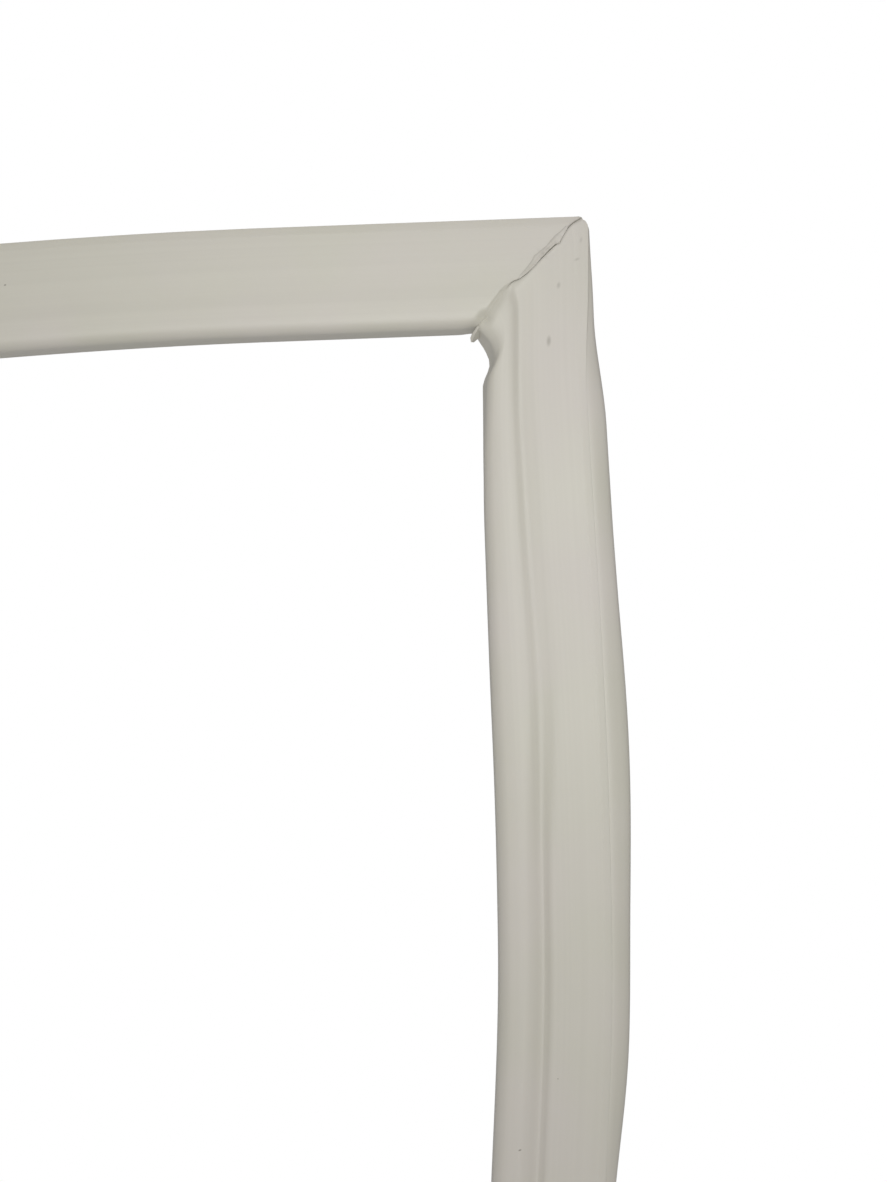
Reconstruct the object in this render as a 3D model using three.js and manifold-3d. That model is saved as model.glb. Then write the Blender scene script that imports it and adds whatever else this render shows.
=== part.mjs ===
// A magnetic door seal for a small refrigerator. Four lengths of hollow soft-PVC section are
// mitred and welded at the corners into one closed loop, and each side holds a flat magnetic
// strip in a pocket under its sealing face.
// The loop lies face up, as it would on a bench: +X is the width of the door, +Y its height, and
// +Z the way the sealing face looks. The origin is the middle of the loop, on the surface that
// its barbed foot rests on. Sizes are in millimetres.
import * as THREE from "three";
import { mergeVertices } from "three/addons/utils/BufferGeometryUtils.js";
import Module from "manifold-3d";

// The loop, corner to corner over the tips of the outer lip
const loopWidth = 520;
const loopHeight = 690;

// Magnetic strip, and the pocket under the sealing face that holds it
const stripWidth = 12;
const stripThickness = 3;
const stripClearance = 0.3;
const stripSetback = 26; // from the corner of the loop to the end of the strip
const headWall = 0.8;
const headOffset = 2; // how far the head sits outwards of the foot

// Thin lip outside the sealing face
const lipReach = 2.4;
const lipThickness = 0.9;
const lipDroop = 0.3;

// Soft balloon inside the sealing face
const balloonReach = 10.9;
const balloonDepth = 10.2;
const balloonDrop = 0.45; // its top lies this much under the sealing face
const balloonWall = 0.8;
const balloonTopRadius = 3.2;
const balloonFootRadius = 2.8;
const balloonLean = 0.6; // its side wall reaches further in at the foot
const balloonFootTurn = 70; // degrees that the lower round turns through
const stepWidth = 2.2;

// Bellows between the head and the base
const bellowsHeight = 7.4;
const bellowsWall = 0.7;
const foldTipReach = 10.6;
const foldTipHeight = 3;
const foldRootReach = 4.2;
const foldRootHeight = 5.5;
const bellowsSeatInset = 0.9;
// Where the bellows bulge, the fold stands up beside the head, close under the lip
const headGap = 0.9;
const neckDrop = 1.1;
const bulgedTipHeight = 7.3;
const bulgedRootHeight = 10.6;
const bulgeOutRun = 1.9; // mm of bulge that bring the fold's root out past the head
const bulgeUpRun = 1.5; // and the mm after them that raise the fold

// Base flange, and the barbed foot that snaps into the groove of the door
const baseThickness = 1.1;
const baseOuterReach = 7;
const baseInnerReach = 8.2;
const baseInnerRise = 0.6;
const footHeight = 6.5;
const stemWidth = 2;
const tipWidth = 1.6;
const lowerBarbWidth = 6.2;
const lowerBarbHeight = 2.5;
const upperBarbWidth = 5.4;
const upperBarbHeight = 4.7;
const barbThickness = 0.9;

// Weld at the mitres, and the small holes that let the hollows breathe
const weldHeight = 0.3;
const weldWidth = 1.8;
const ventRadius = 1.2;
const crossVentRadius = 0.8;
const pocketVentSetback = 21;
const webVentSetback = 38;
const balloonVentSetback = 46;

// How the slack sides lie. A lobe is a smooth swell of the line, outwards where it is positive:
// at is its middle, from the start of the side, and reach is half its length.
const endBows = [{ at: 270, reach: 190, rise: -5.6 }];
const sideBows = [
  { at: 140, reach: 130, rise: 2.2 },
  { at: 306, reach: 124, rise: -5 },
  { at: 520, reach: 130, rise: 2 },
];
// The upright sides lie rolled, outer edge up, so the bellows bulge out from under the lip
const sideRoll = 5; // degrees
const rollRun = 34;
const cornerBulge = 3;
const cornerBulgeRun = 8;
const sideBulge = 5.2;
const sideBulgeRun = 56;
const bulgeSwells = [
  { at: 140, reach: 90, rise: 1.2 },
  { at: 256, reach: 54, rise: -3.6 },
];
const cornerPinch = 0.74; // share of its width that the balloon keeps at the corner
const sideSpread = 1.18;
const pinchRun = 80;
const sideSag = 0.4;

// Heights and places that follow
const baseTop = footHeight + baseThickness;
const headBottom = baseTop + bellowsHeight;
const pocketFloor = headBottom + headWall;
const pocketTop = pocketFloor + stripThickness + 2 * stripClearance;
const faceTop = pocketTop + headWall;
const pocketInner = headOffset - stripWidth / 2 - stripClearance;
const pocketOuter = headOffset + stripWidth / 2 + stripClearance;
const faceInner = pocketInner - headWall;
const faceOuter = pocketOuter + headWall;
const lipTip = faceOuter + lipReach;
const balloonTop = faceTop - balloonDrop;
const balloonFoot = balloonTop - balloonDepth;
const balloonEdge = faceInner - balloonReach;

// Number of flat steps in each round of the section
const roundSteps = 3;
const stepSteps = 3;

const point = (u, v) => new THREE.Vector2(u, v);

function smooth(x) {
  const t = THREE.MathUtils.clamp(x, 0, 1);
  return t * t * (3 - 2 * t);
}

function lobeSum(lobes, s) {
  return lobes.reduce((sum, { at, reach, rise }) => {
    const share = (s - at) / reach;
    return Math.abs(share) < 1 ? sum + rise * Math.cos((share * Math.PI) / 2) ** 2 : sum;
  }, 0);
}

function arc(cu, cv, radius, fromDegrees, toDegrees) {
  return Array.from({ length: roundSteps + 1 }, (_, i) => {
    const turned = fromDegrees + ((toDegrees - fromDegrees) * i) / roundSteps;
    const angle = THREE.MathUtils.degToRad(turned);
    return point(cu + radius * Math.cos(angle), cv + radius * Math.sin(angle));
  });
}

// The open line moved sideways, to the left of its own direction. With level ends, the first and
// last points slide along their own height.
function offsetLine(line, distance, levelEnds = false) {
  const normals = line.slice(1).map((p, i) => {
    const along = p.clone().sub(line[i]).normalize();
    return point(-along.y, along.x);
  });
  return line.map((p, i) => {
    const before = normals[Math.max(i - 1, 0)];
    const after = normals[Math.min(i, normals.length - 1)];
    if (levelEnds && before === after) return point(p.x + distance / before.x, p.y);
    const middle = before.clone().add(after).normalize();
    return p.clone().addScaledVector(middle, distance / middle.dot(after));
  });
}

// Section of the moulding, in u, outwards from the middle of the foot, and v, upwards.
// Every outline runs anticlockwise.
function stepLine() {
  return Array.from({ length: stepSteps }, (_, i) => {
    const share = (i + 1) / stepSteps;
    return point(faceInner - stepWidth * share, faceTop - balloonDrop * smooth(share));
  });
}

function balloonSkin() {
  const upper = arc(
    balloonEdge + balloonLean + balloonTopRadius, balloonTop - balloonTopRadius,
    balloonTopRadius, 90, 175,
  );
  const lower = arc(
    balloonEdge + balloonFootRadius, balloonFoot + balloonFootRadius,
    balloonFootRadius, 180, 180 + balloonFootTurn,
  );
  return [...upper, ...lower, point(-baseInnerReach, footHeight + baseInnerRise)];
}

// Middle of the folded wall, bulged by so many mm, with a swell that only its tip follows. The
// fold's root first moves out from under the head and then up beside it, and the fold rounds
// out as it rises.
function bellowsLine(bulge, swell) {
  const baseSeat = point(baseOuterReach - bellowsSeatInset, baseTop);
  const headSeat = point(faceOuter - bellowsSeatInset, headBottom);
  const tip = point(foldTipReach, baseTop + foldTipHeight);
  const root = point(foldRootReach, baseTop + foldRootHeight);
  const out = smooth(bulge / bulgeOutRun);
  const up = smooth((bulge - 0.8 * bulgeOutRun) / bulgeUpRun);
  const fullTip = point(foldTipReach + bulge + swell, baseTop + bulgedTipHeight);
  const fullRoot = point(faceOuter + headGap + bellowsWall / 2, baseTop + bulgedRootHeight);
  const fullNeck = point(faceOuter + headGap, headBottom - neckDrop);
  const span = fullTip.x - fullRoot.x;
  const rise = fullRoot.y - fullTip.y;
  const moved = (relaxed, full) => point(
    THREE.MathUtils.lerp(relaxed.x, full.x, out),
    THREE.MathUtils.lerp(relaxed.y, full.y, up),
  );
  const between = (a, b, share) => a.clone().lerp(b, share);
  return [
    baseSeat,
    moved(between(tip, baseSeat, 0.2), point(fullTip.x - 0.2 * span, fullTip.y - 0.8 * rise)),
    point(fullTip.x, THREE.MathUtils.lerp(tip.y, fullTip.y, up)),
    moved(between(tip, root, 0.2), point(fullTip.x - 0.2 * span, fullTip.y + 0.66 * rise)),
    moved(between(tip, root, 0.5), point(fullTip.x - 0.55 * span, fullTip.y + 0.97 * rise)),
    moved(root, fullRoot),
    moved(between(root, headSeat, 0.4), fullNeck),
    headSeat,
  ];
}

// Left half of the barbed foot, from the base down to its tip
function footLine() {
  return [
    point(-stemWidth / 2, footHeight),
    point(-stemWidth / 2, upperBarbHeight + barbThickness),
    point(-upperBarbWidth / 2, upperBarbHeight),
    point(-stemWidth / 2, upperBarbHeight - barbThickness),
    point(-stemWidth / 2, lowerBarbHeight + barbThickness),
    point(-lowerBarbWidth / 2, lowerBarbHeight),
    point(-tipWidth / 2, 0),
  ];
}

function outline(bulge = 0, swell = 0) {
  const foot = footLine();
  const otherHalf = foot.map((p) => point(-p.x, p.y)).reverse();
  return [
    point(faceOuter, faceTop),
    point(faceInner, faceTop),
    ...stepLine(),
    ...balloonSkin(),
    point(-baseInnerReach + baseInnerRise, footHeight),
    ...foot,
    ...otherHalf,
    point(baseOuterReach, footHeight),
    point(baseOuterReach, baseTop),
    ...offsetLine(bellowsLine(bulge, swell), -bellowsWall / 2, true),
    point(faceOuter, headBottom),
    point(faceOuter, faceTop - lipThickness),
    point(lipTip, faceTop - lipThickness - lipDroop),
    point(lipTip, faceTop - lipDroop),
  ];
}

function pocketHollow() {
  return [
    point(pocketInner, pocketFloor),
    point(pocketOuter, pocketFloor),
    point(pocketOuter, pocketTop),
    point(pocketInner, pocketTop),
  ];
}

function bellowsHollow(bulge = 0, swell = 0) {
  const web = faceInner + bellowsWall;
  return [
    point(web, baseTop),
    ...offsetLine(bellowsLine(bulge, swell), bellowsWall / 2, true),
    point(web, headBottom),
  ];
}

function balloonHollow() {
  const skin = [point(faceInner, balloonTop), ...balloonSkin()];
  return [point(faceInner, baseTop), ...offsetLine(skin, balloonWall)];
}

function stripSection() {
  return [
    point(pocketInner + stripClearance, pocketFloor + stripClearance),
    point(pocketOuter - stripClearance, pocketFloor + stripClearance),
    point(pocketOuter - stripClearance, pocketTop - stripClearance),
    point(pocketInner + stripClearance, pocketTop - stripClearance),
  ];
}

// The four sides in turn, clockwise from above. A side starts at its corner of the loop and runs
// along its direction, with its outward way to the left.
const sides = [
  { name: "top", corner: point(-loopWidth / 2, loopHeight / 2), way: point(1, 0) },
  { name: "right", corner: point(loopWidth / 2, loopHeight / 2), way: point(0, -1) },
  { name: "bottom", corner: point(loopWidth / 2, -loopHeight / 2), way: point(-1, 0) },
  { name: "left", corner: point(-loopWidth / 2, -loopHeight / 2), way: point(0, 1) },
];
for (const side of sides) {
  side.out = point(-side.way.y, side.way.x);
  side.upright = side.way.x === 0;
  side.length = side.upright ? loopHeight : loopWidth;
  // The left side mirrors the right one, and the bottom one the top
  side.reversed = side.name === "top" || side.name === "left";
}

function bowAt(side, s) {
  const from = side.reversed ? side.length - s : s;
  return lobeSum(side.upright ? sideBows : endBows, from);
}

// The foot's line at distance s along the side, and the outward way there
function lineAt(side, s) {
  const small = 0.5;
  const slope = (bowAt(side, s + small) - bowAt(side, s - small)) / (2 * small);
  const place = side.corner.clone()
    .addScaledVector(side.way, s)
    .addScaledVector(side.out, bowAt(side, s) - lipTip);
  const out = side.out.clone().addScaledVector(side.way, -slope).normalize();
  return { place, out, way: point(out.y, -out.x) };
}

// The bulge and swell of a side's bellows at s, nearest mm from its closest mitre
function bulgeAt(side, nearest, s) {
  if (!side.upright) return [0, 0];
  const bulge = cornerBulge * smooth(nearest / cornerBulgeRun)
    + (sideBulge - cornerBulge) * smooth(nearest / sideBulgeRun);
  return [bulge, lobeSum(bulgeSwells, side.reversed ? side.length - s : s)];
}

// Where a point of the section lies on a side, so near its closest mitre. The head and balloon
// move as the side lies rolled, and the base and foot stay.
function laid(side, p, nearest) {
  if (!side.upright) return p.clone();
  const lift = smooth((p.y - baseTop) / bellowsHeight);
  const { x: u, y: v } = p;
  const spread = THREE.MathUtils.lerp(cornerPinch, sideSpread, smooth(nearest / pinchRun));
  const sag = sideSag * smooth(nearest / pinchRun) * smooth((faceInner - u) / stepWidth) * lift;
  const widened = u < faceInner
    ? faceInner + (u - faceInner) * THREE.MathUtils.lerp(1, spread, lift)
    : u;
  const roll = THREE.MathUtils.degToRad(sideRoll) * smooth(nearest / rollRun) * lift;
  return point(widened, v - sag - baseTop)
    .rotateAround(point(0, 0), roll)
    .add(point(0, baseTop));
}

// Where the mitre cuts a point of the section: on both sides' lines at once
function mitreOf(before, after, p) {
  let sBefore = before.length - lipTip;
  let sAfter = lipTip;
  const uBefore = laid(before, p, 0).x;
  const uAfter = laid(after, p, 0).x;
  for (let turn = 0; turn < 6; turn += 1) {
    const a = lineAt(before, sBefore);
    const b = lineAt(after, sAfter);
    const farA = a.place.dot(a.out) + uBefore;
    const farB = b.place.dot(b.out) + uAfter;
    const cross = a.out.cross(b.out);
    const met = point(
      (farA * b.out.y - farB * a.out.y) / cross,
      (farB * a.out.x - farA * b.out.x) / cross,
    );
    sBefore += met.clone().sub(a.place).dot(a.way);
    sAfter += met.clone().sub(b.place).dot(b.way);
  }
  return { sBefore, sAfter };
}

// The stretch of a side that a point of the section runs along, from mitre to mitre
function stretchOf(side, p) {
  const turn = sides.indexOf(side);
  const previous = sides[(turn + sides.length - 1) % sides.length];
  const next = sides[(turn + 1) % sides.length];
  return {
    start: mitreOf(previous, side, p).sAfter,
    end: mitreOf(side, next, p).sBefore,
  };
}

function placed(side, p, stretch, s) {
  const { place, out } = lineAt(side, s);
  const q = laid(side, p, Math.min(s - stretch.start, stretch.end - s));
  return [place.x + out.x * q.x, place.y + out.y * q.x, q.y];
}

// Rings along a side: a share of the stretch and a distance added to it. They lie close where
// the section changes fast, so the fold clears the head between them as it comes out and rises,
// and the last mitre belongs to the next side.
const uprightRuns = [
  ...[0.4, 0.57, 0.75].map((share) => share * cornerBulgeRun), 10, 22, 38, 58, 84,
];
const levelRuns = [16, 50];
const levelSpacing = 60;

function ringsOf(side) {
  const runs = [weldWidth / 2, ...(side.upright ? uprightRuns : levelRuns)];
  const last = runs[runs.length - 1];
  const clear = side.length - 2 * (lipTip - balloonEdge) - 2 * last;
  const count = Math.max(2, Math.round(clear / levelSpacing));
  const whole = side.length - 2 * (lipTip - balloonEdge);
  const middle = Array.from({ length: count - 1 }, (_, i) => ({
    share: (last + (clear * (i + 1)) / count) / whole,
    run: 0,
  }));
  return [
    { share: 0, run: 0, weld: true },
    ...runs.map((run) => ({ share: 0, run })),
    ...middle,
    ...runs.map((run) => ({ share: 1, run: -run })).reverse(),
  ];
}

// The welded seam stands proud of the section above its base
function proud(section) {
  const closed = [section[section.length - 1], ...section, section[0]];
  const moved = offsetLine(closed, -weldHeight).slice(1, -1);
  return section.map((p, i) => p.clone().lerp(moved[i], smooth((p.y - baseTop) / bellowsHeight)));
}

let wasm;

function solidOf(positions, triangles) {
  const raw = new THREE.BufferGeometry();
  raw.setAttribute("position", new THREE.Float32BufferAttribute(positions, 3));
  raw.setIndex(triangles);
  const merged = mergeVertices(raw, 1e-4);
  return new wasm.Manifold(new wasm.Mesh({
    numProp: 3,
    vertProperties: merged.attributes.position.array,
    triVerts: new Uint32Array(merged.index.array),
  }));
}

function bandTriangles(rings, size, closed) {
  const triangles = [];
  const bands = closed ? rings : rings - 1;
  for (let i = 0; i < bands; i += 1) {
    const here = i * size;
    const there = ((i + 1) % rings) * size;
    for (let k = 0; k < size; k += 1) {
      const next = (k + 1) % size;
      triangles.push(here + k, here + next, there + next, here + k, there + next, there + k);
    }
  }
  return triangles;
}

// A section, which the bulge of the bellows changes, carried all the way round the loop
function loopSolid(sectionFor, seam = sectionFor()) {
  const relaxed = sectionFor();
  const positions = [];
  let rings = 0;
  for (const side of sides) {
    const stretches = relaxed.map((p) => stretchOf(side, p));
    const seamStretches = seam.map((p) => stretchOf(side, p));
    for (const { share, run, weld } of ringsOf(side)) {
      const spans = weld ? seamStretches : stretches;
      const stops = spans.map(({ start, end }) => start + (end - start) * share + run);
      const nearest = Math.min(...spans.map(({ start, end }, k) =>
        Math.min(stops[k] - start, end - stops[k])));
      const middle = stops.reduce((sum, s) => sum + s, 0) / stops.length;
      const points = weld ? seam : sectionFor(...bulgeAt(side, nearest, middle));
      points.forEach((p, k) => positions.push(...placed(side, p, spans[k], stops[k])));
      rings += 1;
    }
  }
  return solidOf(positions, bandTriangles(rings, relaxed.length, true));
}

// A strip cut square at both ends, lying in the pocket of one side
function stripSolid(side) {
  const section = stripSection();
  const stretches = section.map((p) => stretchOf(side, p));
  const { start } = stretchOf(side, point(headOffset, pocketFloor));
  const stops = ringsOf(side)
    .map(({ share, run }) => start + (side.length - 2 * start) * share + run)
    .filter((s) => s > stripSetback + 2 && s < side.length - stripSetback - 2);
  const stations = [stripSetback, ...stops, side.length - stripSetback];
  const positions = stations.flatMap((s) =>
    section.flatMap((p, k) => placed(side, p, stretches[k], s)));
  const triangles = bandTriangles(stations.length, section.length, false);
  const last = (stations.length - 1) * section.length;
  triangles.push(0, 2, 1, 0, 3, 2, last, last + 1, last + 2, last, last + 2, last + 3);
  return solidOf(positions, triangles);
}

// A round hole through one wall: upright, or across the section
function ventSolid(side, u, v, setback, radius, length, across) {
  const shape = new THREE.CylinderGeometry(radius, radius, length, 10);
  const { place, out } = lineAt(side, setback);
  if (!across) shape.rotateX(Math.PI / 2);
  if (across) shape.rotateZ(Math.atan2(out.y, out.x) + Math.PI / 2);
  shape.translate(place.x + out.x * u, place.y + out.y * u, v);
  shape.deleteAttribute("normal");
  shape.deleteAttribute("uv");
  const merged = mergeVertices(shape, 1e-4);
  return solidOf(merged.attributes.position.array, Array.from(merged.index.array));
}

function vents() {
  const throughWall = 3 * headWall;
  const level = sides.filter((side) => !side.upright);
  return level.flatMap((side) => [false, true].flatMap((farEnd) => {
    const from = (setback) => (farEnd ? side.length - setback : setback);
    const pocketMiddle = (pocketFloor + pocketTop) / 2;
    const webMiddle = (baseTop + headBottom) / 2;
    const underBalloon = -baseInnerReach - balloonReach / 3;
    return [
      ventSolid(side, faceInner, pocketMiddle, from(pocketVentSetback), crossVentRadius,
        throughWall, true),
      ventSolid(side, faceInner, webMiddle, from(webVentSetback), ventRadius, throughWall, true),
      ventSolid(side, underBalloon, baseTop, from(balloonVentSetback), ventRadius,
        2 * baseTop - footHeight, false),
    ];
  }));
}

function sealSolid() {
  const hollows = [pocketHollow, bellowsHollow, balloonHollow].map((hollow) => loopSolid(hollow));
  const cuts = [...hollows, ...vents()];
  return cuts.reduce((solid, cut) => solid.subtract(cut), loopSolid(outline, proud(outline())));
}

function meshOf(name, solid, material) {
  const { vertProperties, triVerts, numProp } = solid.getMesh();
  const geometry = new THREE.BufferGeometry();
  const positions = new Float32Array((vertProperties.length / numProp) * 3);
  for (let i = 0; i < positions.length / 3; i += 1) {
    for (let axis = 0; axis < 3; axis += 1) {
      positions[3 * i + axis] = vertProperties[numProp * i + axis];
    }
  }
  geometry.setAttribute("position", new THREE.BufferAttribute(positions, 3));
  geometry.setIndex(Array.from(triVerts));
  geometry.computeVertexNormals();
  const mesh = new THREE.Mesh(geometry, material);
  mesh.name = name;
  return mesh;
}

wasm = await Module();
wasm.setup();

const softPvc = new THREE.MeshStandardMaterial({ color: 0xc8c4bb, roughness: 0.5, metalness: 0 });
const ferriteBound = new THREE.MeshStandardMaterial({ color: 0x3b3532, roughness: 0.7, metalness: 0 });

const gasket = new THREE.Group();
gasket.add(meshOf("gasket_frame", sealSolid(), softPvc));
for (const side of sides) {
  gasket.add(meshOf(`magnetic_strip_${side.name}`, stripSolid(side), ferriteBound));
}

export default gasket;
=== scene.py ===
"""A magnetic refrigerator door seal, lying face up and seen at one corner.

The seal is one closed loop of hollow soft-PVC section, mitred and welded at its four corners,
with a magnetic strip inside each side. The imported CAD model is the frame. Blender's objects are
in metres: +X is the width of the door, +Y its height, +Z the way the sealing face looks.
"""
import math

import bpy
import numpy as np
from mathutils import Matrix, Vector, noise


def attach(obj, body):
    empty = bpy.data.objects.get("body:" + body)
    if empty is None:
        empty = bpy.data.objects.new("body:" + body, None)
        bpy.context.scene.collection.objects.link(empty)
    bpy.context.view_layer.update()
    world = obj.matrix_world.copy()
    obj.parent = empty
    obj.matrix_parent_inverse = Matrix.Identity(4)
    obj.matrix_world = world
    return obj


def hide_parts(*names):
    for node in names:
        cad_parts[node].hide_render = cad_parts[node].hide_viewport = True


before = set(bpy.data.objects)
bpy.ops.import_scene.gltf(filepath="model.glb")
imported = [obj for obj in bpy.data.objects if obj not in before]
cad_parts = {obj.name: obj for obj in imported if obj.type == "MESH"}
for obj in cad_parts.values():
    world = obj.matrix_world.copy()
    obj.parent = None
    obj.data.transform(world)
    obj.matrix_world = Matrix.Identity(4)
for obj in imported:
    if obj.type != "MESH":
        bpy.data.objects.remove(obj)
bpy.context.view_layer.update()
scene = bpy.context.scene

# Camera. The photograph looks straight down on the top right corner of the loop from 450 mm
# above its face, and shows the loop turned slightly anticlockwise. One pixel is 0.25 mm there.
MM = 0.001
PHOTO_WIDTH, PHOTO_HEIGHT = 887, 1182
MM_PER_PIXEL = 0.25
CORNER_PIXEL = (583, 216)
CAMERA_ABOVE_FACE = 450
LOOP_TURN = math.radians(2.1)
SENSOR = 36
loop_width, loop_height = 520, 690
face_top = 20.2


def under_pixel(pixel):
    """Place in mm, on the plane of the sealing face, that a pixel of the photograph shows."""
    from_corner = Vector((pixel[0] - CORNER_PIXEL[0], CORNER_PIXEL[1] - pixel[1])) * MM_PER_PIXEL
    from_corner.rotate(Matrix.Rotation(-LOOP_TURN, 2))
    return from_corner + Vector((loop_width, loop_height)) / 2


def place_above(thing, pixel, above_face):
    """Puts a camera or light over a pixel of the photograph, looking straight down."""
    x, y = under_pixel(pixel)
    thing.location = Vector((x, y, face_top + above_face)) * MM
    thing.rotation_euler.z = -LOOP_TURN
    scene.collection.objects.link(thing)


camera_lens = bpy.data.cameras.new("camera")
camera_lens.sensor_width = SENSOR
camera_lens.lens = SENSOR * CAMERA_ABOVE_FACE / (PHOTO_HEIGHT * MM_PER_PIXEL)
camera_lens.clip_start = 10 * MM
camera = bpy.data.objects.new("camera", camera_lens)
place_above(camera, (PHOTO_WIDTH / 2, PHOTO_HEIGHT / 2), CAMERA_ABOVE_FACE)
scene.camera = camera
scene.view_settings.view_transform = "Standard"

# Light. A soft lamp hangs over the corner, so both legs fall off in brightness away from it. An
# even light from straight above and a pale room do the rest.
LAMP_PIXEL = (470, 470)
LAMP_ABOVE_FACE = 290
LAMP_SIZE = 160
LAMP_POWER = 0.345
OVERHEAD_STRENGTH = 0.88
OVERHEAD_SPREAD = math.radians(60)
ROOM_STRENGTH = 0.24
ROOM_COLOUR = "fffaf2"


def from_hex(text):
    """Linear RGBA of an sRGB colour that is written as six hex digits."""
    channels = [int(text[i:i + 2], 16) / 255 for i in (0, 2, 4)]
    linear = [c / 12.92 if c <= 0.04045 else ((c + 0.055) / 1.055) ** 2.4 for c in channels]
    return (*linear, 1.0)


lamp_light = bpy.data.lights.new("lamp", "AREA")
lamp_light.size = LAMP_SIZE * MM
lamp_light.energy = LAMP_POWER
lamp = bpy.data.objects.new("lamp", lamp_light)
lamp.visible_camera = False
place_above(lamp, LAMP_PIXEL, LAMP_ABOVE_FACE)

overhead_light = bpy.data.lights.new("overhead", "SUN")
overhead_light.energy = OVERHEAD_STRENGTH
overhead_light.angle = OVERHEAD_SPREAD
overhead = bpy.data.objects.new("overhead", overhead_light)
place_above(overhead, LAMP_PIXEL, CAMERA_ABOVE_FACE)

room = bpy.data.worlds.new("room")
room.use_nodes = True
room.node_tree.nodes["Background"].inputs["Color"].default_value = from_hex(ROOM_COLOUR)
room.node_tree.nodes["Background"].inputs["Strength"].default_value = ROOM_STRENGTH
scene.world = room

# Floor. A plain white surface that shows no shadow, as in the photograph, and under it a pale
# one that the camera doesn't see, which gives the sides of the seal the light of a floor.
FLOOR_SIZE = 3000
FLOOR_DROP = 0.05
BOUNCE_DROP = 1
BOUNCE_STRENGTH = 0.5


def node(owner, kind, links=None, **settings):
    """Adds a node to a material: its settings, and a value or a link for each named input."""
    new = owner.node_tree.nodes.new(kind)
    for name, value in settings.items():
        setattr(new, name, value)
    for socket, value in (links or {}).items():
        if isinstance(value, bpy.types.NodeSocket):
            owner.node_tree.links.new(value, new.inputs[socket])
        else:
            new.inputs[socket].default_value = value
    return new


def glowing_plane(name, drop, strength):
    """A level square of even white light, under the seal."""
    half = FLOOR_SIZE / 2 * MM
    mesh = bpy.data.meshes.new(name)
    corners = [(-half, -half, 0), (half, -half, 0), (half, half, 0), (-half, half, 0)]
    mesh.from_pydata(corners, [], [(0, 1, 2, 3)])
    glow = bpy.data.materials.new(name)
    glow.use_nodes = True
    glow.node_tree.nodes.clear()
    shine = node(glow, "ShaderNodeEmission", {"Color": (1, 1, 1, 1), "Strength": strength})
    node(glow, "ShaderNodeOutputMaterial", {"Surface": shine.outputs["Emission"]})
    mesh.materials.append(glow)
    plane = bpy.data.objects.new(name, mesh)
    plane.location.z = -drop * MM
    scene.collection.objects.link(plane)
    return plane


floor = glowing_plane("floor", FLOOR_DROP, 1.0)
floor.visible_diffuse = False
floor.visible_glossy = False
floor.visible_shadow = False
bounce = glowing_plane("floor_bounce", BOUNCE_DROP, BOUNCE_STRENGTH)
bounce.visible_camera = False

# Gasket frame. Four lengths of hollow soft-PVC extrusion, each with a barbed foot, a bellows, a
# pocket for its magnetic strip, a flat sealing face with a thin lip, and a soft inner balloon.
# They are mitred and hot-welded at the corners, where the weld leaves a seam and some flash.

# The section's sizes are in mm, as u outwards from the middle of the foot and v up from its tip
strip_width, strip_clearance, head_wall, head_offset = 12, 0.3, 0.8, 2
lip_reach, lip_thickness, lip_droop = 2.4, 0.9, 0.3
balloon_reach, balloon_depth, balloon_drop = 10.9, 10.2, 0.45
balloon_top_radius, balloon_foot_radius, balloon_lean = 2.8, 2.8, 0.6
balloon_foot_turn = 70
step_width = 2.2
bellows_height, bellows_wall, bellows_seat_inset = 7.4, 0.7, 0.9
fold_tip_reach, fold_tip_height = 10.6, 3
fold_root_reach, fold_root_height = 4.2, 5.5
head_gap, neck_drop = 0.9, 1.1
lifted_tip_height, lifted_root_height = 7.5, 11.1
corner_tip_rise, corner_tip_reach = 2.3, 2  # the fold's tip stands higher where it reaches less
base_thickness, base_outer_reach, base_inner_reach, base_inner_rise = 1.1, 7, 8.2, 0.6
foot_height, stem_width, tip_width = 6.5, 2, 1.6
barbs = [(5.4, 4.7), (6.2, 2.5)]
barb_thickness = 0.9

# How the slack sides lie, in mm. A swell is (its middle, half its length, its rise).
end_bows = [(270, 190, -5.6)]
side_bows = [(140, 130, 2.2), (306, 124, -5), (520, 130, 2)]
side_roll, roll_run = math.radians(5), 34

# The bellows of the upright sides are lifted against the lip, and reach past their relaxed tip.
# The reach grows from each corner in steps of (from, over, by), and has swells of its own.
lift_run = 1.2
fold_steps = [(0, 1.8, 2.1), (0, 24, 0.95), (22, 30, 1.95)]
fold_swells = [(140, 55, 1.05), (264, 56, -2.6)]
full_reach = 5

# By each corner the lip spreads over the lifted bellows. It draws in again in (from, over).
lip_spread, lip_spread_run, lip_draws_in = 1.2, 2.4, (18, 30)

# The balloon of the upright sides is pinched to a share of its reach past each corner, and then
# opens again in steps of (over, by)
corner_pinch, pinch_run = 0.84, 4
pinch_openings = [(50, 0.14), (100, 0.18)]

base_top = foot_height + base_thickness
head_bottom = base_top + bellows_height
face_inner = head_offset - strip_width / 2 - strip_clearance - head_wall
face_outer = head_offset + strip_width / 2 + strip_clearance + head_wall
lip_tip = face_outer + lip_reach
balloon_top = face_top - balloon_drop
balloon_foot = balloon_top - balloon_depth
balloon_edge = face_inner - balloon_reach

EDGE_RADIUS = 0.3  # the die leaves every edge of the section slightly round
EDGE_SHARE = 0.4  # of the stretch beside it, the most that a rounded edge takes
POCKET_LINE, POCKET_LINE_DEPTH = 0.35, 0.05  # the faint line over the pocket's outer edge
LIP_SAG = 0.05  # the lip lies down on the lifted bellows
LIP_EDGE = 0.15  # it thins out to this
ROUND_STEPS = 9
FOLD_STEPS = 5
SKIN_SPACING = 0.8  # between the mesh's lines on the skin that shows from above
HIDDEN_SPACING = 2.5


def smooth(x):
    """Rises from 0 at 0 to 1 at 1, level at both ends."""
    t = np.clip(x, 0, 1)
    return t * t * (3 - 2 * t)


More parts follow.
